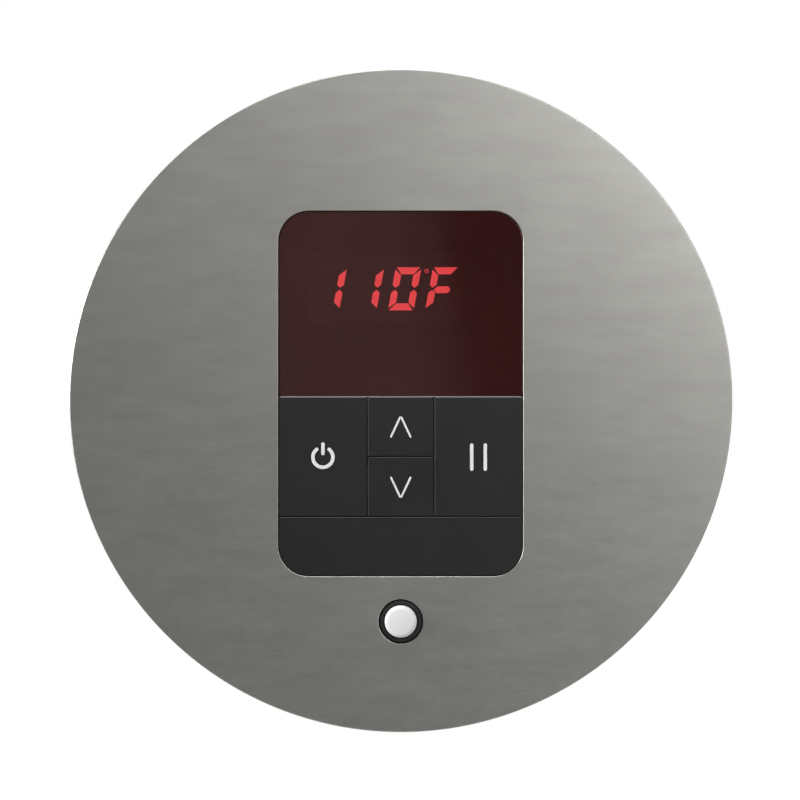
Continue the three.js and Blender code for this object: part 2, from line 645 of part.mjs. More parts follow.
// The probe's white tip: a round-edged head on a neck, bored from behind for the thermistor.
function probeTip() {
  const { head, edge, neck, proud, bore, back } = PROBE;
  const [front, seat] = [panFront - proud, panFront + GROMMET.recess];
  const roundEdge = [0, 30, 60, 90].map((degrees) => {
    const angle = THREE.MathUtils.degToRad(degrees);
    return [head - edge + edge * Math.cos(angle), front + edge - edge * Math.sin(angle)];
  });
  const profile = [
    [0, back - 5],
    [bore, back - 5],
    [bore, back],
    [neck, back],
    [neck, seat],
    [head, seat],
    ...roundEdge,
    [0, front],
  ];
  return turned(0, PROBE.z, profile, 20);
}

// The rubber ring round the tip, with a flange behind the pan's skin.
function probeGrommet() {
  const { collar, flange, recess, clearance } = GROMMET;
  const inner = PROBE.neck + clearance;
  const profile = [
    [inner, panFront + recess],
    [inner, washerFront],
    [flange, washerFront],
    [flange, skinBack],
    [collar, skinBack],
    [collar, panFront + recess],
    [inner, panFront + recess],
  ];
  return turned(0, PROBE.z, profile, 20);
}

function probeWasher() {
  const ring = disc(0, PROBE.z, WASHER.radius);
  ring.holes.push(disc(0, PROBE.z, PROBE.neck + WASHER.clearance));
  return slab(ring, washerFront, washerBack, { curve: 8 });
}

// The bead that reads the temperature, at the end of the probe's bore.
const thermistor = () => new THREE.SphereGeometry(1.2, 8, 6).translate(0, panFront + 2.3, PROBE.z);

// One of the probe's two leads: straight back from the bead, then up and into the housing.
function probeLead(x) {
  const route = [
    [x, -6.8, PROBE.z],
    [x, PROBE.back - 0.1, PROBE.z],
    [x, LEAD.y - 0.4, PROBE.z + 0.5],
    [x, LEAD.y, PROBE.z + 2],
    [x, LEAD.y, PROBE.z + 6],
    [x, LEAD.y, LEAD.endZ - 4],
    [x, LEAD.y, LEAD.endZ],
  ];
  return tubeAlong(route, LEAD.radius, 12);
}

add('faceplate', pan(), BRUSHED_METAL);
add('wall_gasket', wallGasket(), FOAM);
add('front_seal', frontSeal(), RUBBER);
studPlaces.forEach(([x, z], n) => {
  add(`faceplate_stud_${n + 1}`, stud(x, z), STEEL);
  add(`faceplate_nut_${n + 1}`, nut(x, z, earBack, STUD_NUT, STUD.radius), STEEL);
});
add('module_frame', moduleFrame(), FRAME_PLASTIC);
add('display_window', displayWindow(), TINTED_ACRYLIC);
add('blank_panel', blankPanel(), KEY_PLASTIC);
for (const [name, key] of Object.entries(KEYS)) {
  add(`${name}_keycap`, keycap(key), KEY_PLASTIC);
  add(`${name}_contact_pill`, contactPill(key), CARBON);
}
const symbolPlace = Object.fromEntries(
  Object.entries(KEYS).map(([name, { x, z }]) => [name, { x, z: z - SYMBOL.drop }]),
);
const [powerRing, powerBar] = powerSymbol(symbolPlace.power);
add('power_symbol_ring', powerRing, SYMBOL_WHITE);
add('power_symbol_bar', powerBar, SYMBOL_WHITE);
add('up_symbol', chevron(symbolPlace.up, 1), SYMBOL_WHITE);
add('down_symbol', chevron(symbolPlace.down, -1), SYMBOL_WHITE);
add('pause_symbol_left', pauseBar(symbolPlace.pause, -1), SYMBOL_WHITE);
add('pause_symbol_right', pauseBar(symbolPlace.pause, 1), SYMBOL_WHITE);
add('rubber_keypad', rubberKeypad(), RUBBER);
FIGURES.forEach((lit, place) => {
  const last = FIGURES.length - 1;
  const x = DISPLAY.x + (place - last / 2) * DIGIT.pitch;
  add(`digit_${place + 1}_light_guide`, digitGuide(x, lit, place === last), LIT_RED);
});
add('led_display', displayBody(), DISPLAY_GREY);
add('main_board', mainBoard(), BOARD_GREEN);
boardScrewPlaces.forEach(([x, z], n) => {
  add(`board_screw_${n + 1}`, screw(x, z, boardBack, BOARD_SCREW), STEEL);
});
const [chipRight, chipTop] = [CHIP.left + CHIP.size, CHIP.bottom + CHIP.size];
add(
  'microcontroller',
  box(CHIP.left, chipRight, boardBack, boardBack + CHIP.height, CHIP.bottom, chipTop),
  CHIP_BLACK,
);
const { radius: canRadius, back: canBack } = CAPACITOR;
const canProfile = [[0, canBack], [canRadius, canBack], [canRadius, boardBack], [0, boardBack]];
add('capacitor', turned(CAPACITOR.x, CAPACITOR.z, canProfile, 20), CAN_GREY);
add('cable_jack', cableJack(), CHIP_BLACK);
[-1.5, -0.5, 0.5, 1.5].forEach((place, n) => {
  add(`jack_contact_${n + 1}`, jackContact(place * JACK_CONTACT.pitch), GOLD);
});
add('housing_seal', housingSeal(), RUBBER);
add('rear_housing', rearHousing(), FRAME_PLASTIC);
housingScrewPlaces.forEach(([x, z], n) => {
  add(`housing_screw_${n + 1}`, screw(x, z, flangeBack, HOUSING_SCREW), STEEL);
});
add('probe_tip', probeTip(), PROBE_WHITE);
add('probe_grommet', probeGrommet(), RUBBER);
add('probe_washer', probeWasher(), STEEL);
add('probe_nut', nut(0, PROBE.z, washerBack, PROBE_NUT, PROBE.neck), STEEL);
add('thermistor', thermistor(), CHIP_BLACK);
add('probe_lead_left', probeLead(-LEAD.x), LEAD_RED);
add('probe_lead_right', probeLead(LEAD.x), LEAD_BLACK);

export default controller;
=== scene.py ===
"""The looks of a round wall control for a steam room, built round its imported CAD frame.

X runs to the right, Z up and Y into the wall. Outlines are drawn in X and Z, in millimetres, and
become solids by stacking them along Y; a mesh is scaled to metres when it is made.
"""

import math
from types import SimpleNamespace

import bmesh
import bpy
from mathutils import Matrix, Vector


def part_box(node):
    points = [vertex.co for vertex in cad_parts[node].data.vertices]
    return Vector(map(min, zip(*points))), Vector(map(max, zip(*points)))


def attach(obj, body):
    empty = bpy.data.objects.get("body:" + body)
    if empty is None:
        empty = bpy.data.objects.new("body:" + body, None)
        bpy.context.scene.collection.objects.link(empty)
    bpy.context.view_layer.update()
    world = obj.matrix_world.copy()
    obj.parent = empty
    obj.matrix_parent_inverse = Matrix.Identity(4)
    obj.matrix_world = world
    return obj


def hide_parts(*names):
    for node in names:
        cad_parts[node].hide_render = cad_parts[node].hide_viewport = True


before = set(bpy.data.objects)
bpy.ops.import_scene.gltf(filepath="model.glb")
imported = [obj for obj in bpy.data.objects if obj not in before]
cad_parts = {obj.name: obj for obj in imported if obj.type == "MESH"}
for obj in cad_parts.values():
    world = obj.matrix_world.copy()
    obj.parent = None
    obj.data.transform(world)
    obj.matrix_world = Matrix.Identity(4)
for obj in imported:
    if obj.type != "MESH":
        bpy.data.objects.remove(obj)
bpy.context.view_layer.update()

MM = 0.001
SHARP_EDGE = math.radians(32)

# Sizes that the boxes of the CAD pieces don't say, in millimetres unless they say otherwise.
MODULE_CORNER = 6.5
PAN_SKIN = 1.5
PAN_EDGE = 0.25
CUT_EDGE = 0.14
KEY_CORNER = 0.25
KEY_EDGE = 0.12
POCKET_CORNER = 0.1
FRAME_CORNER = 4.5
SYMBOL_STROKE = 0.74
CHEVRON_STROKE = 0.42
CHEVRON_TIP = 0.16  # half the width of its blunt tip
INK_EDGE = 0.03
THIN_EDGE = 0.01  # the edge of a thin layer, on the side where it isn't seen
POWER_GAP = 38  # degrees from the top, each way
KEYS = ("power", "up", "down", "pause")
KEY_THICKNESS = 2.2
KEY_TRAVEL = 0.8
KEY_CLEARANCE = 0.4
WALL_LAND = 0.02  # half the width of the frame's ribs between its pockets
GAP = 0.15
WINDOW_EDGE = 0.12
PROBE_HOLE = 4.7
PAN_LIP = SimpleNamespace(width=7, thickness=1.2, edge=0.5, root=0.6)
GASKET = SimpleNamespace(width=5.8, edge=0.3)
STEM = SimpleNamespace(radius=2.5, foot=3.2, foot_thickness=0.6, hole=2.7)
DIGIT = SimpleNamespace(
    width=5.44, height=9.12, across=1.48, upright=1.42, mitre=0.24, tip_drop=0.5, shoulder=0.85, slit=0.22,
    lean=math.tan(math.radians(10.4)), relief=0.2, margin=0.3, edge=0.02,
)
FIGURES = ("bc", "bc", "abcdef", "aefg")  # the lit segments of 1, 1, 0 and F
MIDDLE_SEGMENT = SimpleNamespace(z=-0.2, left=-1.73, right=1.74, radius=0.71)
DEGREE = SimpleNamespace(to_the_left=3.96, from_top=0.78, outer=0.44, inner=0.27)
# The thin strip in the joint under the window; its pale grey is a painted highlight.
PAINTED_HIGHLIGHT = SimpleNamespace(joint=0.02, inset=0.3, drop=0.02, corner=0.02, edge=0.015)
EAR = SimpleNamespace(radius=4.2, thickness=2, hole=1.8)
DISPLAY_HOLE = SimpleNamespace(clearance=0.4, corner=0.5)
HOUSING = SimpleNamespace(
    width=47, height=71, corner=5.5, wall=1.8, flange=1.6, floor=1.6, rib=0.6, fillet=0.6, edge=1.0,
    flange_edge=0.3, screw_hole=1.45,
)
COLLAR = SimpleNamespace(width=2.4, edge=0.3, corner=0.4, mouth_edge=0.2)  # round the jack's opening
RIB = SimpleNamespace(width=1.4, pitch=13, bottom=3, top=30, edge=0.25, foot=0.1)
JACK = SimpleNamespace(
    clearance=0.3, half=5, bottom=-3.5, top=3.5, notch=3, notch_depth=1.6, corner=0.25, front_edge=0.1,
    back_edge=0.15, flare=0.25, flare_depth=0.35,
)
SCREW = SimpleNamespace(shank=1.25, point=0.3, point_length=1, head_height=1.5, rim=0.35)
CROSS = SimpleNamespace(reach=0.6, half=0.13, depth=0.8, draft=0.1)  # reach and half in head radii
NUT = SimpleNamespace(across_flats=5.5, clearance=0.1, bevel=0.25, face_inset=0.2, face_height=0.12)
STUD = SimpleNamespace(radius=1.5, base_thickness=0.5, pitch=0.5, groove=0.22, run_out=0.2, point=0.45)
PROBE = SimpleNamespace(
    edge=0.9, crown=0.12, bore=1.5, bore_depth=5, neck=3, neck_depth=0.2, collar=4.6, bead=0.62, flange=1.1,
)
PROBE_NUT = SimpleNamespace(across_flats=11, washer_bore=3.15, washer_edge=0.1)
LEAD = SimpleNamespace(inset=0.1, bend_front=-4.6, bend_back=-3.3, bend_rise=0.5, low=2, high=6)

# The stage. Lengths are in metres, apart from the width of the view at the plate's face and the
# camera's offset from the plate's centre.
STAGE = SimpleNamespace(camera=1.0, view=168.9, aside=-0.16, up=0.15, floor=-0.16, radius=0.32)
SENSOR = 36  # the width of the camera's film, in millimetres
STUDIO = SimpleNamespace(front=0.01, behind=0.7, front_end=-0.12, behind_start=0.4)

# left_card and lens_card overlap, so they stand in planes of their own: in one plane, one of them
# hides the other in reflections.
LIGHTS = (
    dict(
        name="softbox", place=(0.22, -0.4, 0.17), target=(0.22, 0, 0.17),
        width=0.2, height=0.36, power=1.42, roll=45,
    ),
    dict(
        name="upper_box", place=(0.1, -0.5, 0.3), target=(0.1, 0, 0.3),
        width=0.5, height=0.25, power=0.44,
    ),
    dict(
        name="right_box", place=(0.35, -0.5, -0.05), target=(0.35, 0, -0.05),
        width=0.2, height=0.5, power=0.62,
    ),
    dict(
        name="left_card", place=(-0.1734, -0.45, 0), target=(-0.1734, 0, 0),
        width=0.36, height=0.6, power=0.095, roll=8,
    ),
    dict(
        name="lens_card", place=(-0.0263, -0.44, 0.04), target=(-0.0263, 0, 0.04),
        width=0.08, height=0.14, power=0.01, roll=8,
    ),
    dict(
        name="left_rim", place=(-1, -0.25, 0.2), target=(0, 0, 0),
        width=0.4, height=0.4, power=15,
    ),
    dict(
        name="top_rim", place=(0, -0.15, 1), target=(0, 0, 0),
        width=0.5, height=0.5, power=9,
    ),
)


# --------------------------------------------------------------------------- outlines in X and Z


def extent(node):
    """The box of a CAD node in millimetres, with its sides named."""
    low, high = (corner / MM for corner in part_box(node))
    return SimpleNamespace(
        left=low.x, right=high.x, front=low.y, back=high.y, bottom=low.z, top=high.z,
        x=(low.x + high.x) / 2, z=(low.z + high.z) / 2, width=high.x - low.x, height=high.z - low.z,
    )


def arc(x, z, radius, start, turn, steps):
    """Points along an arc, both ends included. Angles are in degrees, anticlockwise from +X."""
    angles = [math.radians(start + turn * n / steps) for n in range(steps + 1)]
    return [(x + radius * math.cos(a), z + radius * math.sin(a)) for a in angles]


def circle(x, z, radius, steps=48):
    return arc(x, z, radius, 0, 360, steps)[:-1]


def rectangle(left, right, bottom, top, low_radius, high_radius=None, steps=8):
    """A rounded rectangle, with one radius for its two lower corners and one for its upper ones."""
    low, high = low_radius, low_radius if high_radius is None else high_radius
    return (
        arc(right - low, bottom + low, low, -90, 90, steps)
        + arc(right - high, top - high, high, 0, 90, steps)
        + arc(left + high, top - high, high, 90, 90, steps)
        + arc(left + low, bottom + low, low, 180, 90, steps)
    )


def inset(outline, distance):
    """The outline moved inwards by a distance, or outwards if that is negative."""
    points = [Vector(p) for p in outline]
    moved = []
    for before, here, after in zip(points[-1:] + points[:-1], points, points[1:] + points[:1]):
        arriving, leaving = (here - before).normalized(), (after - here).normalized()
        inward = arriving.orthogonal() + leaving.orthogonal()
        moved.append(tuple(here + inward * distance / (1 + arriving.dot(leaving))))
    return moved


def stroke(points, width, steps=6):
    """The outline of a pen line through the points, with round ends."""
    path = [Vector(p) for p in points]
    half = width / 2
    left, right = [], []
    for n, here in enumerate(path):
        arriving = (here - path[n - 1]).normalized() if n else (path[1] - here).normalized()
        leaving = (path[n + 1] - here).normalized() if n + 1 < len(path) else arriving
        side = (arriving.orthogonal() + leaving.orthogonal()) * half / (1 + arriving.dot(leaving))
        left.append(tuple(here + side))
        right.append(tuple(here - side))

    def cap(centre, heading):
        angle = math.degrees(math.atan2(heading.y, heading.x))
        return arc(centre.x, centre.y, half, angle - 90, 180, steps)[1:-1]

    start_cap = cap(path[0], path[0] - path[1])
    end_cap = cap(path[-1], path[-1] - path[-2])
    return right + end_cap + left[::-1] + start_cap


# --------------------------------------------------------------------------- tubes and solids


def round_over(y, radius, way, steps=4):
    """(inset, y) pairs of a quarter round, from the flat face at y to the side of the piece."""
    quarter = [math.radians(90 * n / steps) for n in range(steps + 1)]
    return [(radius * (1 - math.sin(a)), y + way * radius * (1 - math.cos(a))) for a in quarter]


def tube(outline, profile):
    """A wall that follows the outline: one ring for each (inset, y) of the profile."""
    return [[(x, y, z) for x, z in inset(outline, distance)] for distance, y in profile]


def slab_wall(outline, front, back, front_edge, back_edge=0.05, steps=4):
    """The wall of a slab with rounded front and back edges. One step makes the front one a chamfer."""
    return tube(outline, round_over(front, front_edge, 1, steps) + round_over(back, back_edge, -1, 2)[::-1])


def turned_wall(x, z, profile, steps=48):
    """The wall of a turned piece from (radius, y) pairs."""
    return [[(px, y, pz) for px, pz in circle(x, z, radius, steps)] for radius, y in profile]


def solid(name, walls, material, body, stands_for=()):
    """A closed mesh from its walls. Every plane that walls end in is filled between their rings."""
    mesh = bmesh.new()
    for wall in walls:
        rings = [[mesh.verts.new(Vector(p) * MM) for p in ring] for ring in wall]
        for ring, following in zip(rings, rings[1:]):
            for n in range(len(ring)):
                mesh.faces.new((ring[n - 1], ring[n], following[n], following[n - 1]))
    planes = {}
    for edge in mesh.edges:
        if edge.is_boundary:
            planes.setdefault(round(edge.verts[0].co.y / MM, 4), []).append(edge)
    for edges in planes.values():
        bmesh.ops.triangle_fill(mesh, edges=edges, use_beauty=True, normal=(0, 1, 0))
    bmesh.ops.recalc_face_normals(mesh, faces=mesh.faces)
    return piece_of(name, mesh, material, body, stands_for)


def piece_of(name, mesh, material, body, stands_for=()):
    """Turns a bmesh into a smooth-shaded piece that rides on a body."""
    for face in mesh.faces:
        face.smooth = True
    for edge in mesh.edges:
        edge.smooth = edge.calc_face_angle(0) < SHARP_EDGE
    data = bpy.data.meshes.new(name)
    mesh.to_mesh(data)
    mesh.free()
    data.materials.append(material)
    piece = bpy.data.objects.new(name, data)
    bpy.context.scene.collection.objects.link(piece)
    normals = piece.modifiers.new("flat faces stay flat", "WEIGHTED_NORMAL")
    normals.keep_sharp = True
    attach(piece, body)
    if stands_for:
        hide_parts(*stands_for)
    return piece


# --------------------------------------------------------------------------- materials


def new_material(name, **sockets):
    """A material with a Principled shader, whose plain sockets are set by name."""
    material = bpy.data.materials.new(name)
    material.use_nodes = True
    shader = material.node_tree.nodes["Principled BSDF"]
    for socket, value in sockets.items():
        shader.inputs[socket.replace("_", " ")].default_value = value
    return material, shader


def noise_in(material, stretch, detail=4.0):
    """A noise texture in the piece's own space. stretch is its frequency in each axis, per metre."""
    nodes, links = material.node_tree.nodes, material.node_tree.links
    place = nodes.new("ShaderNodeTexCoord")
    scale = nodes.new("ShaderNodeMapping")
    scale.inputs["Scale"].default_value = stretch
    texture = nodes.new("ShaderNodeTexNoise")
    texture.inputs["Scale"].default_value = 1.0
    texture.inputs["Detail"].default_value = detail
    links.new(place.outputs["Object"], scale.inputs["Vector"])
    links.new(scale.outputs["Vector"], texture.inputs["Vector"])
    return texture.outputs["Fac"]


def ramp_between(material, source, low, high, lower=0.3, upper=0.7):
    """Turns a texture into a colour between two others."""
    ramp = material.node_tree.nodes.new("ShaderNodeValToRGB")
    ramp.color_ramp.elements[0].position = lower
    ramp.color_ramp.elements[1].position = upper
    ramp.color_ramp.elements[0].color = (*low, 1)
    ramp.color_ramp.elements[1].color = (*high, 1)
    material.node_tree.links.new(source, ramp.inputs["Fac"])
    return ramp.outputs["Color"]


def range_between(material, source, low, high):
    """Turns a texture into a number between two others."""
    span = material.node_tree.nodes.new("ShaderNodeMapRange")
    span.inputs["From Min"].default_value = 0.3
    span.inputs["From Max"].default_value = 0.7
    span.inputs["To Min"].default_value = low
    span.inputs["To Max"].default_value = high
    material.node_tree.links.new(source, span.inputs["Value"])
    return span.outputs["Result"]


def bump_from(material, shader, source, height, strength=1.0):
    """Raises the surface by a texture. height is in metres."""
    bump = material.node_tree.nodes.new("ShaderNodeBump")
    bump.inputs["Distance"].default_value = height
    bump.inputs["Strength"].default_value = strength
    material.node_tree.links.new(source, bump.inputs["Height"])
    material.node_tree.links.new(bump.outputs["Normal"], shader.inputs["Normal"])


def surface(
    name, colour, roughness, *, spread=0.12, uneven=0.06, cloud=120, grain=4000, relief=0.01, **sockets,
):
    """A moulded, cast or painted surface: faint clouds of colour, uneven gloss and a fine grain.

    colour is linear. spread is the share by which the colour varies and uneven the amount by which
    the roughness does. cloud and grain are frequencies per metre, and relief is in millimetres.
    """
    material, shader = new_material(name, **sockets)
    clouds = noise_in(material, (cloud,) * 3)
    fine = noise_in(material, (grain,) * 3, 2.0)
    low, high = ([c * k for c in colour] for k in (1 - spread, 1 + spread))
    links = material.node_tree.links
    links.new(ramp_between(material, clouds, low, high), shader.inputs["Base Color"])
    gloss = range_between(material, clouds, roughness - uneven, roughness + uneven)
    links.new(gloss, shader.inputs["Roughness"])
    bump_from(material, shader, fine, relief * MM)
    return material


def brushed(name, colour, roughness, along, across, *, uneven=0.05, relief=0.004, **sockets):
    """Metal with fine brush lines along X. along and across are their frequencies per metre."""
    material, shader = new_material(name, Metallic=1.0, **sockets)
    lines = noise_in(material, (along, across, across), 6.0)
    sweeps = noise_in(material, (along / 6, across / 8, across / 8), 3.0)
    links = material.node_tree.links
    low, high = ([c * k for c in colour] for k in (0.95, 1.05))
    links.new(ramp_between(material, sweeps, low, high), shader.inputs["Base Color"])
    gloss = range_between(material, lines, roughness - uneven, roughness + uneven)
    links.new(gloss, shader.inputs["Roughness"])
    bump_from(material, shader, lines, relief * MM)
    return material


def glowing(name, colour, strength):
    """A diffusing plastic lit from behind, a little brighter in some places than in others."""
    material, shader = new_material(name, Roughness=0.45, Emission_Strength=strength)
    clouds = noise_in(material, (900,) * 3)
    low, high = ([c * k for c in colour] for k in (0.92, 1.08))
    lit = ramp_between(material, clouds, low, high)
    material.node_tree.links.new(lit, shader.inputs["Emission Color"])
    material.node_tree.links.new(lit, shader.inputs["Base Color"])
    return material


def tinted_window(name, colour, alpha):
    """Polished tinted acrylic, seen into a little."""
    tint = (1, 0.72, 0.66, 1)
    material, shader = new_material(
        name, Alpha=alpha, IOR=1.49, Specular_IOR_Level=0.7, Specular_Tint=tint,
    )
    clouds = noise_in(material, (45, 45, 45), 1.0)
    low, high = ([c * k for c in colour] for k in (0.9, 1.1))
    links = material.node_tree.links
    links.new(ramp_between(material, clouds, low, high), shader.inputs["Base Color"])
    links.new(range_between(material, clouds, 0.05, 0.09), shader.inputs["Roughness"])
    return material


BRUSHED_METAL = brushed(
    "brushed_metal", (0.375, 0.369, 0.346), 0.4, along=550, across=2700, uneven=0.018, relief=0.0014,
)
STEEL = brushed("fastener_steel", (0.55, 0.55, 0.56), 0.3, along=900, across=900)
WINDOW = tinted_window("window_acrylic", (0.036, 0.0085, 0.0085), 0.72)
KEY_PLASTIC = surface(
    "key_plastic", (0.0118, 0.0118, 0.0119), 0.34, spread=0.04, uneven=0.015, cloud=60, relief=0.003,
    Specular_IOR_Level=0.42,
)
# The pale grey of the strip in the joint between the window and the keys is a painted highlight.
PAINTED_HIGHLIGHT_GREY = surface("painted_highlight_grey", (0.3, 0.285, 0.285), 0.45, spread=0.05, relief=0.002)
HOUSING_PLASTIC = surface("housing_plastic", (0.012, 0.012, 0.013), 0.5, relief=0.02, grain=2200)
SYMBOL_WHITE = surface("symbol_white", (0.66, 0.66, 0.66), 0.45, spread=0.03, relief=0.003)
LIT_RED = glowing("lit_red", (1.0, 0.072, 0.08), 8.2)
DISPLAY_GREY = surface("display_grey", (0.02, 0.02, 0.022), 0.6)
SEAL_RUBBER = surface(
    "seal_rubber", (0.014, 0.0145, 0.0145), 0.62, relief=0.02, Specular_IOR_Level=0.3,
)
GASKET_FOAM = surface(
    "gasket_foam", (0.035, 0.035, 0.037), 0.92, spread=0.3, cloud=900, grain=1800, relief=0.25,
)
CIRCUIT_BOARD = surface("circuit_board", (0.014, 0.1, 0.04), 0.35, spread=0.35, cloud=500)
COMPONENT_BLACK = surface("component_black", (0.009, 0.009, 0.01), 0.4)
CAPACITOR_CAN = brushed("capacitor_can", (0.5, 0.51, 0.53), 0.3, along=500, across=2500)
CONTACT_GOLD = brushed("contact_gold", (0.72, 0.46, 0.14), 0.25, along=800, across=800)
PROBE_WHITE = surface("probe_white", (0.67, 0.67, 0.665), 0.32, spread=0.03, relief=0.004)
LEAD_RED = surface("lead_red", (0.3, 0.02, 0.015), 0.4)
LEAD_BLACK = surface("lead_black", (0.012, 0.012, 0.012), 0.4)


# --------------------------------------------------------------------------- profiles used often


def hole_profile(front, back, edge=CUT_EDGE, steps=3):
    """(inset, y) pairs of a through hole whose front edge is broken by a small round."""
    quarter = [math.radians(90 * n / steps) for n in range(steps + 1)]
    return [(-edge * (1 - math.sin(a)), front + edge * (1 - math.cos(a))) for a in quarter] + [(0, back)]


# --------------------------------------------------------------------------- the pan and its seals


def module_opening():
    """The outline of the opening that the module stands in."""
    window, panel = extent("display_window"), extent("blank_panel")
    return rectangle(
        window.left - GAP, window.right + GAP, panel.bottom - GAP, window.top + GAP, MODULE_CORNER, steps=14,
    )


def make_faceplate():
    """The metal pan: front skin, rounded edge, rim, lip turned in, and the two openings."""
    pan, probe = extent("faceplate"), extent("probe_grommet")
    skin_back = pan.front + PAN_SKIN
    lip_front = pan.back - PAN_LIP.thickness
    corner = round_over(0, PAN_LIP.root, -1, 4)
    profile = (
        round_over(pan.front, PAN_EDGE, 1, 8)
        + round_over(pan.back, PAN_LIP.edge, -1, 4)[::-1]
        + [(PAN_LIP.width, pan.back), (PAN_LIP.width, lip_front)]
        + [(PAN_SKIN + d, lip_front + y) for d, y in corner]
        + [(PAN_SKIN + d, skin_back - y) for d, y in corner[::-1]]
    )
    walls = [
        tube(circle(0, 0, pan.width / 2, 256), profile),
        tube(module_opening(), hole_profile(pan.front, skin_back)),
        tube(circle(probe.x, probe.z, PROBE_HOLE, 64), hole_profile(pan.front, skin_back)),
    ]
    solid("brushed_pan", walls, BRUSHED_METAL, "base", ["faceplate"])


def make_wall_gasket():
    """The foam ring that is squeezed between the pan's lip and the tiles."""
    ring = extent("wall_gasket")
    outer, inner = ring.width / 2, ring.width / 2 - GASKET.width
    edges = round_over(ring.front, GASKET.edge, 1, 3) + round_over(ring.back, GASKET.edge, -1, 3)[::-1]
    walls = [
        tube(circle(0, 0, outer, 200), edges),
        tube(circle(0, 0, inner, 200), [(-d, y) for d, y in edges]),
    ]
    solid("foam_gasket", walls, GASKET_FOAM, "base", ["wall_gasket"])


# --------------------------------------------------------------------------- the module's front


def make_window():
    """The tinted window, with polished edges."""
    window = extent("display_window")
    outline = rectangle(
        window.left, window.right, window.bottom, window.top, KEY_CORNER, MODULE_CORNER - GAP, steps=14,
    )
    wall = slab_wall(outline, window.front, window.back, WINDOW_EDGE)
    solid("tinted_window", [wall], WINDOW, "base", ["display_window"])


def make_window_painted_highlight():
    """A thin strip in the joint between the window and the keys, whose pale grey is a painted highlight
    standing in for the bright line along that joint.
    """
    window = extent("display_window")
    top, bottom = window.bottom - PAINTED_HIGHLIGHT.joint, window.bottom - GAP + PAINTED_HIGHLIGHT.joint
    left, right = window.left + PAINTED_HIGHLIGHT.inset, window.right - PAINTED_HIGHLIGHT.inset
    outline = rectangle(left, right, bottom, top, PAINTED_HIGHLIGHT.corner, steps=2)
    wall = slab_wall(outline, window.front + PAINTED_HIGHLIGHT.drop, window.back, PAINTED_HIGHLIGHT.edge, THIN_EDGE, steps=2)
    solid("window_painted_highlight", [wall], PAINTED_HIGHLIGHT_GREY, "base")


def make_blank_panel():
    panel = extent("blank_panel")
    outline = rectangle(
        panel.left, panel.right, panel.bottom, panel.top, MODULE_CORNER - GAP, KEY_CORNER, steps=14,
    )
    wall = slab_wall(outline, panel.front, panel.back, KEY_EDGE, steps=1)
    solid("lower_panel", [wall], KEY_PLASTIC, "base", ["blank_panel"])


def make_key(key):
    """A keycap with its stem and foot. It stays within the CAD keycap's box."""
    cap, pill = extent(f"{key}_keycap"), extent(f"{key}_contact_pill")
    cap_back = cap.front + KEY_THICKNESS
    foot_front = cap.back - STEM.foot_thickness
    outline = rectangle(cap.left, cap.right, cap.bottom, cap.top, KEY_CORNER, steps=5)
    walls = [
        slab_wall(outline, cap.front, cap_back, KEY_EDGE, steps=1),
        turned_wall(pill.x, pill.z, [(STEM.radius, cap_back), (STEM.radius, foot_front)]),
        turned_wall(pill.x, pill.z, [(STEM.foot, foot_front), (STEM.foot, cap.back)]),
    ]
    solid(f"{key}_key_moulding", walls, KEY_PLASTIC, f"{key}_key", [f"{key}_keycap"])


def print_symbol(name, key, outline, stands_for):
    """A symbol as a thin layer of ink on a key."""
    ink = extent(stands_for)
    wall = slab_wall(outline, ink.front, ink.back, INK_EDGE, THIN_EDGE)
    solid(name, [wall], SYMBOL_WHITE, f"{key}_key", [stands_for])


def make_symbols():
    ring, bar = extent("power_symbol_ring"), extent("power_symbol_bar")
    half = SYMBOL_STROKE / 2
    radius = ring.width / 2 - half
    centre_z = ring.bottom + radius + half
    ring_line = arc(ring.x, centre_z, radius, 90 + POWER_GAP, 360 - 2 * POWER_GAP, 40)
    print_symbol("power_ring", "power", stroke(ring_line, SYMBOL_STROKE), "power_symbol_ring")
    bar_line = [(bar.x, bar.bottom + half), (bar.x, bar.top - half)]
    print_symbol("power_bar", "power", stroke(bar_line, SYMBOL_STROKE), "power_symbol_bar")
    for key, tip_side in (("up", 1), ("down", -1)):
        mark = extent(f"{key}_symbol")
        reach = (mark.height - CHEVRON_STROKE) / 2
        legs = (mark.width - CHEVRON_STROKE) / 2
        tail, tip = mark.z - tip_side * reach, mark.z + tip_side * reach
        left_leg = [(mark.x - legs, tail), (mark.x - CHEVRON_TIP, tip)]
        right_leg = [(mark.x + CHEVRON_TIP, tip), (mark.x + legs, tail)]
        print_symbol(f"{key}_chevron", key, stroke(left_leg + right_leg, CHEVRON_STROKE), f"{key}_symbol")
    for side in ("left", "right"):
        mark = extent(f"pause_symbol_{side}")
        end = mark.height / 2 - mark.width / 2
        line = [(mark.x, mark.z - end), (mark.x, mark.z + end)]
        print_symbol(f"pause_bar_{side}", "pause", stroke(line, mark.width), f"pause_symbol_{side}")


# --------------------------------------------------------------------------- the lit figures


def segment(name):
    """The outline of one of the seven segments, upright, round the figure's centre."""
    half, top, inner = DIGIT.width / 2, DIGIT.height / 2, DIGIT.width / 2 - DIGIT.upright
    if name == "g":
        bar = MIDDLE_SEGMENT
        point, start = bar.left, bar.left + bar.radius
        round_end = arc(bar.right - bar.radius, bar.z, bar.radius, -90, 180, 8)
        return round_end + [(start, bar.z + bar.radius), (point, bar.z), (start, bar.z - bar.radius)]
    if name in "ad":
        way = 1 if name == "a" else -1
        outer, low = half - DIGIT.mitre, top - DIGIT.across
        points = [(-outer, way * top), (-inner, way * low), (inner, way * low), (outer, way * top)]
        return points[::way]
    side, up = {"b": (1, 1), "c": (1, -1), "e": (-1, -1), "f": (-1, 1)}[name]
    points = [
        (half, top - DIGIT.tip_drop), (half, DIGIT.shoulder), (half - DIGIT.upright / 2, DIGIT.slit),
        (inner, DIGIT.shoulder), (inner, top - DIGIT.across - DIGIT.slit),
    ]
    return [(side * x, up * z) for x, z in points][::-side * up]


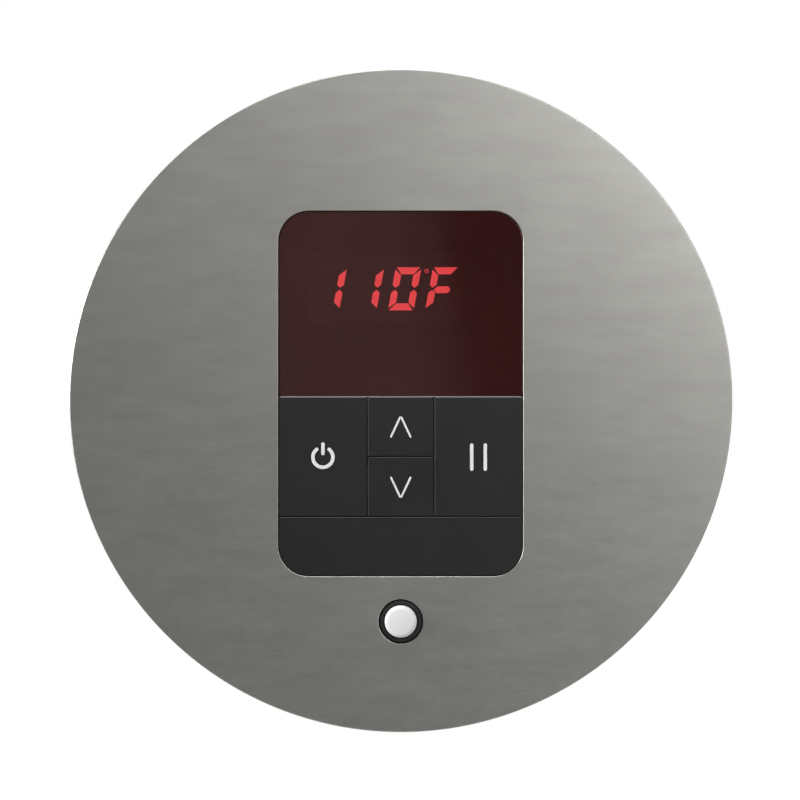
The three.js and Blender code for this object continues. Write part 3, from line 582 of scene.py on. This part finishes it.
def make_digits():
    """Each figure: a dark film with the lit segments standing on it, seen through the window."""
    for place, lit in enumerate(FIGURES, start=1):
        guide = extent(f"digit_{place}_light_guide")
        face = guide.front + DIGIT.relief
        half_width, half_height = DIGIT.width / 2 + DIGIT.margin, guide.height / 2
        centre_x = guide.right - half_width - half_height * DIGIT.lean

        def slanted(outline):
            return [(centre_x + x + z * DIGIT.lean, guide.z + z) for x, z in outline]

        for name in lit:
            wall = slab_wall(slanted(segment(name)), guide.front, face, DIGIT.edge, THIN_EDGE)
            solid(f"digit_{place}_segment_{name}", [wall], LIT_RED, "base")
        left = guide.left - centre_x + half_height * DIGIT.lean
        bottom_edge = [(left, -half_height), (half_width, -half_height)]
        top_edge = [(half_width, half_height), (left, half_height)]
        wall = slab_wall(slanted(bottom_edge + top_edge), face, guide.back, DIGIT.edge, THIN_EDGE)
        stands_for = [f"digit_{place}_light_guide"]
        solid(f"digit_{place}_film", [wall], DISPLAY_GREY, "base", stands_for)
    x, z = slanted([(-DEGREE.to_the_left, DIGIT.height / 2 - DEGREE.from_top)])[0]
    through = [(0, guide.front), (0, face)]
    walls = [tube(circle(x, z, radius, 32), through) for radius in (DEGREE.outer, DEGREE.inner)]
    solid("degree_ring", walls, LIT_RED, "base")


# --------------------------------------------------------------------------- the frame and the housing


def make_module_frame():
    """The black frame behind the front pieces: stepped pockets, the openings through it and four ears."""
    body, window, panel = extent("module_frame"), extent("display_window"), extent("blank_panel")
    outer, display = extent("rear_housing"), extent("led_display")
    ears = [extent(f"faceplate_stud_{n}") for n in (1, 2, 3, 4)]
    back = outer.front
    ear_back = body.front + EAR.thickness

    def edge_with_ears(way):
        """Up one side of the frame, round the ears on it."""
        x = outer.right if way > 0 else outer.left
        points = []
        for ear in sorted((e for e in ears if e.x * way > 0), key=lambda e: e.z):
            round_end = arc(ear.x, ear.z, EAR.radius, -90, 180 * way, 14)
            points += [(x, ear.z - EAR.radius)] + round_end + [(x, ear.z + EAR.radius)]
        return points

    corner = FRAME_CORNER
    low_right = arc(outer.right - corner, outer.bottom + corner, corner, -90, 90, 8)
    top_right = arc(outer.right - corner, outer.top - corner, corner, 0, 90, 8)
    top_left = arc(outer.left + corner, outer.top - corner, corner, 90, 90, 8)
    low_left = arc(outer.left + corner, outer.bottom + corner, corner, 180, 90, 8)
    with_ears = low_right + edge_with_ears(1) + top_right + top_left + edge_with_ears(-1)[::-1] + low_left
    plain = low_right + top_right + top_left + low_left
    key_floor = panel.back + KEY_TRAVEL + KEY_CLEARANCE
    upper_rib, lower_rib = window.bottom - GAP / 2, panel.top + GAP / 2
    pockets = [
        (upper_rib + WALL_LAND, window.top + GAP, window.back, KEY_CORNER, MODULE_CORNER),
        (lower_rib + WALL_LAND, upper_rib - WALL_LAND, key_floor, POCKET_CORNER, POCKET_CORNER),
        (panel.bottom - GAP, lower_rib - WALL_LAND, panel.back, MODULE_CORNER, KEY_CORNER),
    ]
    walls = [
        tube(with_ears, [(0, body.front), (0, ear_back)]),
        tube(plain, [(0, ear_back), (0, back)]),
    ]
    left, right = window.left - GAP, window.right + GAP
    for bottom, top, depth, low_radius, high_radius in pockets:
        outline = rectangle(left, right, bottom, top, low_radius, high_radius)
        walls.append(tube(outline, [(0, body.front), (0, depth)]))
    spare = DISPLAY_HOLE.clearance
    hole = rectangle(
        display.left - spare, display.right + spare, display.bottom - spare, display.top + spare,
        DISPLAY_HOLE.corner, steps=4,
    )
    walls.append(tube(hole, [(0, window.back), (0, back)]))
    for key in KEYS:
        pill = extent(f"{key}_contact_pill")
        walls.append(turned_wall(pill.x, pill.z, [(STEM.hole, key_floor), (STEM.hole, back)], 40))
    walls += [turned_wall(e.x, e.z, [(EAR.hole, body.front), (EAR.hole, ear_back)], 24) for e in ears]
    solid("frame_moulding", walls, HOUSING_PLASTIC, "base", ["module_frame"])


def make_rear_housing():
    """The tub: flange, rounded walls, raised ribs and collar behind, and the jack's opening."""
    tub, jack = extent("rear_housing"), extent("cable_jack")
    flange = rectangle(tub.left, tub.right, tub.bottom, tub.top, FRAME_CORNER)
    half_x, half_z = HOUSING.width / 2, HOUSING.height / 2
    outside = rectangle(-half_x, half_x, tub.z - half_z, tub.z + half_z, HOUSING.corner)
    flange_back = tub.front + HOUSING.flange
    floor_back = tub.back - HOUSING.rib
    floor_front = floor_back - HOUSING.floor
    spare = JACK.clearance
    mouth = rectangle(
        jack.left - spare, jack.right + spare, jack.bottom - spare, jack.top + spare, COLLAR.corner, steps=4,
    )
    fillet = [(-d, flange_back - y) for d, y in round_over(0, HOUSING.fillet, -1, 4)]
    flange_edge = round_over(flange_back, HOUSING.flange_edge, -1, 3)[::-1]
    mouth_edge = round_over(tub.back, COLLAR.mouth_edge, -1, 3)[::-1]
    collar_edge = round_over(tub.back, COLLAR.edge, -1, 3)[::-1]
    rib_edge = round_over(tub.back, RIB.edge, -1, 3)[::-1]
    walls = [
        tube(flange, [(0, tub.front)] + flange_edge),
        tube(outside, fillet + round_over(floor_back, HOUSING.edge, -1, 5)[::-1]),
        tube(outside, [(HOUSING.wall, tub.front), (HOUSING.wall, floor_front)]),
        tube(mouth, [(0, floor_front)] + [(-d, y) for d, y in mouth_edge]),
        tube(mouth, [(-COLLAR.width, floor_back)] + [(d - COLLAR.width, y) for d, y in collar_edge]),
    ]
    for place in (-1, 0, 1):
        x, half = place * RIB.pitch, RIB.width / 2
        rib = rectangle(x - half, x + half, RIB.bottom, RIB.top, half - 0.01, steps=6)
        walls.append(tube(rib, [(-RIB.foot, floor_back)] + rib_edge))
    for n in (1, 2, 3, 4):
        screw, hole = extent(f"housing_screw_{n}"), HOUSING.screw_hole
        walls.append(turned_wall(screw.x, screw.z, [(hole, tub.front), (hole, flange_back)], 24))
    solid("housing_tub", walls, HOUSING_PLASTIC, "base", ["rear_housing"])


def make_cable_jack():
    """The modular jack: a block with a mouth and a notch for the plug's latch."""
    jack, opening = extent("cable_jack"), extent("jack_contact_1")
    outline = rectangle(jack.left, jack.right, jack.bottom, jack.top, JACK.corner, steps=3)
    top, bottom, half, notch = JACK.top, JACK.bottom, JACK.half, JACK.notch
    floor = bottom - JACK.notch_depth
    mouth = [
        (-notch, floor), (notch, floor), (notch, bottom), (half, bottom), (half, top),
        (-half, top), (-half, bottom), (-notch, bottom),
    ]
    flare = [(-JACK.flare, jack.back), (0, jack.back - JACK.flare_depth)]
    walls = [
        slab_wall(outline, jack.front, jack.back, JACK.front_edge, JACK.back_edge),
        tube([(x, jack.z + z) for x, z in mouth], flare + [(0, opening.front - THIN_EDGE)]),
    ]
    solid("jack_block", walls, COMPONENT_BLACK, "base", ["cable_jack"])


# --------------------------------------------------------------------------- fasteners


def make_screw(node):
    """A pan-head screw with a cross recess, driven from behind."""
    box = extent(node)
    seat, head = box.back - SCREW.head_height, box.width / 2
    rim = seat + SCREW.rim
    rises = [math.radians(12 * n) for n in range(7)]
    dome = [(head * math.cos(a), rim + (box.back - rim) * math.sin(a)) for a in rises]
    reach, half = head * CROSS.reach, head * CROSS.half
    cross = [
        (reach, half), (half, half), (half, reach), (-half, reach), (-half, half), (-reach, half),
        (-reach, -half), (-half, -half), (-half, -reach), (half, -reach), (half, -half), (reach, -half),
    ]
    flat_top = dome[-1][1]
    shank = [(SCREW.point, box.front), (SCREW.shank, box.front + SCREW.point_length), (SCREW.shank, seat)]
    recess = [(0, flat_top), (CROSS.draft, flat_top - CROSS.depth)]
    walls = [
        turned_wall(box.x, box.z, shank, 24),
        turned_wall(box.x, box.z, [(head, seat)] + dome, 40),
        tube([(box.x + x, box.z + z) for x, z in cross], recess),
    ]
    solid(f"{node}_turned", walls, STEEL, "base", [node])


def make_nut(node, across_flats, bore):
    """A hexagon nut whose corners are turned off to a cone on its back face."""
    box = extent(node)
    steps, flat = 60, across_flats / 2
    ring, back = [], []
    for n in range(steps):
        angle = 2 * math.pi * n / steps
        from_flat = (angle + math.pi / 6) % (math.pi / 3) - math.pi / 6
        radius = flat / math.cos(math.pi / 6 - abs(from_flat))
        x, z = box.x + radius * math.cos(angle), box.z + radius * math.sin(angle)
        drop = NUT.face_height + (radius - flat) * math.tan(math.radians(30))
        ring.append((x, box.front, z))
        back.append((x, box.back - drop, z))
    face = [(x, box.back, z) for x, z in circle(box.x, box.z, flat - NUT.face_inset, steps)]
    bevel = [(bore, box.back - NUT.bevel), (bore + NUT.bevel, box.back)]
    hole = turned_wall(box.x, box.z, [(bore, box.front)] + bevel, 40)
    solid(f"{node}_forged", [[ring, back, face], hole], STEEL, "base", [node])


def make_stud(node):
    """A threaded stud, welded to the pan by its wider base."""
    box = extent(node)
    base, root = box.width / 2, STUD.radius - STUD.groove
    thread = []
    y = box.front + STUD.base_thickness
    while y < box.back - STUD.pitch:
        thread += [(root, y), (STUD.radius, y + STUD.pitch / 2)]
        y += STUD.pitch
    profile = [(base, box.front), (base, box.front + STUD.base_thickness)] + thread
    profile += [(root, box.back - STUD.run_out), (STUD.radius - STUD.point, box.back)]
    solid(f"{node}_thread", [turned_wall(box.x, box.z, profile, 32)], STEEL, "base", [node])


# --------------------------------------------------------------------------- the probe


def make_probe_cap():
    """The white tip: a slightly crowned face, a round edge, and a neck with the sensor's bore in it."""
    tip = extent("probe_tip")
    head, crown_front = tip.width / 2, tip.front + PROBE.crown
    neck_start = extent("faceplate").front + PROBE.neck_depth
    turns = [math.radians(10 * n) for n in range(10)]
    edge = [
        (head - PROBE.edge * (1 - math.cos(a)), crown_front + PROBE.edge * (1 - math.sin(a))) for a in turns
    ]
    crown = [
        (radius, tip.front + PROBE.crown * (radius / (head - PROBE.edge)) ** 2) for radius in (2, 1.5, 1, 0.4)
    ]
    bore = [(PROBE.bore, tip.back - PROBE.bore_depth), (PROBE.bore, tip.back)]
    neck = [(PROBE.neck, tip.back), (PROBE.neck, neck_start), (head, neck_start)]
    wall = turned_wall(tip.x, tip.z, bore + neck + edge + crown, 64)
    solid("probe_cap", [wall], PROBE_WHITE, "base", ["probe_tip"])


def make_probe_ring():
    """The rubber ring round the tip: a bead in front of the pan and a flange behind it."""
    ring = extent("probe_grommet")
    collar, bead, flange = PROBE.collar, PROBE.bead, ring.width / 2
    flange_front = ring.back - PROBE.flange
    turns = [math.radians(15 * n) for n in range(13)]
    round_front = [(collar - bead + bead * math.cos(a), ring.front + bead * (1 - math.sin(a))) for a in turns]
    inside = [(collar - 2 * bead, ring.back)]
    walls = [
        turned_wall(ring.x, ring.z, [(flange, ring.back), (flange, flange_front)], 64),
        turned_wall(ring.x, ring.z, [(collar, flange_front)] + round_front + inside, 64),
    ]
    solid("probe_ring", walls, SEAL_RUBBER, "base", ["probe_grommet"])


def make_probe_fixing():
    """The washer and the nut that clamp the probe from behind the pan."""
    washer, edge = extent("probe_washer"), PROBE_NUT.washer_edge
    edges = [(edge, washer.front), (0, washer.front + edge), (0, washer.back - edge), (edge, washer.back)]
    bore = PROBE_NUT.washer_bore
    walls = [
        tube(circle(washer.x, washer.z, washer.width / 2, 64), edges),
        turned_wall(washer.x, washer.z, [(bore, washer.front), (bore, washer.back)], 64),
    ]
    solid("probe_washer_pressed", walls, STEEL, "base", ["probe_washer"])
    make_nut("probe_nut", PROBE_NUT.across_flats, PROBE.neck + NUT.clearance)


def make_lead(side, material):
    """One of the probe's leads, smooth along its whole route into the housing."""
    node = f"probe_lead_{side}"
    lead, probe = extent(node), extent("probe_tip")
    radius = lead.width / 2
    y = lead.back - radius
    route = [
        (lead.x, lead.front + LEAD.inset, probe.z),
        (lead.x, LEAD.bend_front, probe.z),
        (lead.x, LEAD.bend_back, probe.z + LEAD.bend_rise),
        (lead.x, y, probe.z + LEAD.low),
        (lead.x, y, probe.z + LEAD.high),
        (lead.x, y, lead.top - LEAD.inset),
    ]
    line = bpy.data.curves.new(f"{node}_wire", "CURVE")
    line.dimensions = "3D"
    line.bevel_depth = radius * MM
    line.bevel_resolution = 3
    line.use_fill_caps = True
    spline = line.splines.new("BEZIER")
    spline.bezier_points.add(len(route) - 1)
    for point, place in zip(spline.bezier_points, route):
        point.co = Vector(place) * MM
        point.handle_left_type = point.handle_right_type = "AUTO"
    line.materials.append(material)
    wire = bpy.data.objects.new(line.name, line)
    bpy.context.scene.collection.objects.link(wire)
    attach(wire, "base")
    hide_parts(node)


# --------------------------------------------------------------------------- CAD pieces kept as they are


def dress(node, material):
    """Gives a CAD piece that is kept as it is a material of its own."""
    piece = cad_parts[node]
    piece.data.materials.clear()
    piece.data.materials.append(material)


KEPT = {
    "front_seal": SEAL_RUBBER, "housing_seal": SEAL_RUBBER, "rubber_keypad": SEAL_RUBBER,
    "led_display": DISPLAY_GREY, "main_board": CIRCUIT_BOARD, "microcontroller": COMPONENT_BLACK,
    "capacitor": CAPACITOR_CAN, "thermistor": COMPONENT_BLACK,
}


# --------------------------------------------------------------------------- stage, light and camera


def make_floor():
    """A pale floor below the control, which fades out towards its rim."""
    mesh = bmesh.new()
    bmesh.ops.create_circle(mesh, cap_ends=True, segments=96, radius=STAGE.radius)
    data = bpy.data.meshes.new("floor")
    mesh.to_mesh(data)
    mesh.free()
    material = surface("floor_paint", (0.65, 0.65, 0.65), 0.7, spread=0.01, relief=0.002)
    nodes, links = material.node_tree.nodes, material.node_tree.links
    place, scale, fade = (nodes.new(f"ShaderNode{kind}") for kind in ("TexCoord", "Mapping", "TexGradient"))
    scale.inputs["Scale"].default_value = (1 / STAGE.radius,) * 3
    fade.gradient_type = "SPHERICAL"
    links.new(place.outputs["Object"], scale.inputs["Vector"])
    links.new(scale.outputs["Vector"], fade.inputs["Vector"])
    links.new(fade.outputs["Fac"], nodes["Principled BSDF"].inputs["Alpha"])
    data.materials.append(material)
    floor = bpy.data.objects.new("floor", data)
    floor.location.z = STAGE.floor
    bpy.context.scene.collection.objects.link(floor)


def area_light(name, place, target, width, height, power, roll=0.0):
    """A soft rectangular light that looks at the target. power is in watts, lengths in metres."""
    lamp = bpy.data.lights.new(name, "AREA")
    lamp.shape = "RECTANGLE"
    lamp.size, lamp.size_y = width, height
    lamp.energy = power
    light = bpy.data.objects.new(name, lamp)
    light.location = place
    light.rotation_euler = (Vector(target) - Vector(place)).to_track_quat("-Z", "Y").to_euler()
    light.rotation_euler.rotate_axis("Z", math.radians(roll))
    light.visible_camera = False
    bpy.context.scene.collection.objects.link(light)


def make_world():
    """White where the camera sees it; for light and reflections, dim in front and brighter behind."""
    world = bpy.data.worlds.new("studio")
    bpy.context.scene.world = world
    world.use_nodes = True
    nodes, links = world.node_tree.nodes, world.node_tree.links
    seen = nodes.new("ShaderNodeBackground")
    seen.inputs["Color"].default_value = (1, 1, 1, 1)
    around = nodes["Background"]
    around.inputs["Color"].default_value = (1, 0.99, 0.97, 1)
    kinds = ("TexCoord", "SeparateXYZ", "MapRange")
    direction, axes, level = (nodes.new(f"ShaderNode{kind}") for kind in kinds)
    level.inputs["From Min"].default_value = STUDIO.front_end
    level.inputs["From Max"].default_value = STUDIO.behind_start
    level.inputs["To Min"].default_value = STUDIO.front
    level.inputs["To Max"].default_value = STUDIO.behind
    links.new(direction.outputs["Generated"], axes.inputs["Vector"])
    links.new(axes.outputs["Y"], level.inputs["Value"])
    links.new(level.outputs["Result"], around.inputs["Strength"])
    chooser, rays = nodes.new("ShaderNodeMixShader"), nodes.new("ShaderNodeLightPath")
    links.new(rays.outputs["Is Camera Ray"], chooser.inputs["Fac"])
    links.new(around.outputs["Background"], chooser.inputs[1])
    links.new(seen.outputs["Background"], chooser.inputs[2])
    links.new(chooser.outputs["Shader"], nodes["World Output"].inputs["Surface"])


def make_camera():
    """A long lens straight in front of the plate, with the whole disc in view."""
    camera = bpy.data.cameras.new("camera")
    camera.sensor_width = SENSOR
    camera.lens = SENSOR * STAGE.camera / (STAGE.view * MM)
    stand = bpy.data.objects.new("camera", camera)
    face = extent("faceplate").front * MM
    stand.location = (STAGE.aside * MM, face - STAGE.camera, STAGE.up * MM)
    stand.rotation_euler = (math.radians(90), 0, 0)
    bpy.context.scene.collection.objects.link(stand)
    bpy.context.scene.camera = stand


def main():
    make_faceplate()
    make_wall_gasket()
    make_window()
    make_window_painted_highlight()
    make_blank_panel()
    for key in KEYS:
        make_key(key)
    make_symbols()
    make_digits()
    make_module_frame()
    make_rear_housing()
    make_cable_jack()
    for n in (1, 2, 3, 4):
        make_screw(f"housing_screw_{n}")
        make_nut(f"faceplate_nut_{n}", NUT.across_flats, STUD.radius + NUT.clearance)
        make_stud(f"faceplate_stud_{n}")
        dress(f"board_screw_{n}", STEEL)
        dress(f"jack_contact_{n}", CONTACT_GOLD)
    for key in KEYS:
        dress(f"{key}_contact_pill", COMPONENT_BLACK)
    make_probe_cap()
    make_probe_ring()
    make_probe_fixing()
    make_lead("left", LEAD_RED)
    make_lead("right", LEAD_BLACK)
    for node, material in KEPT.items():
        dress(node, material)
    make_floor()
    make_world()
    for light in LIGHTS:
        area_light(**light)
    make_camera()
    bpy.context.scene.view_settings.view_transform = "Standard"


main()
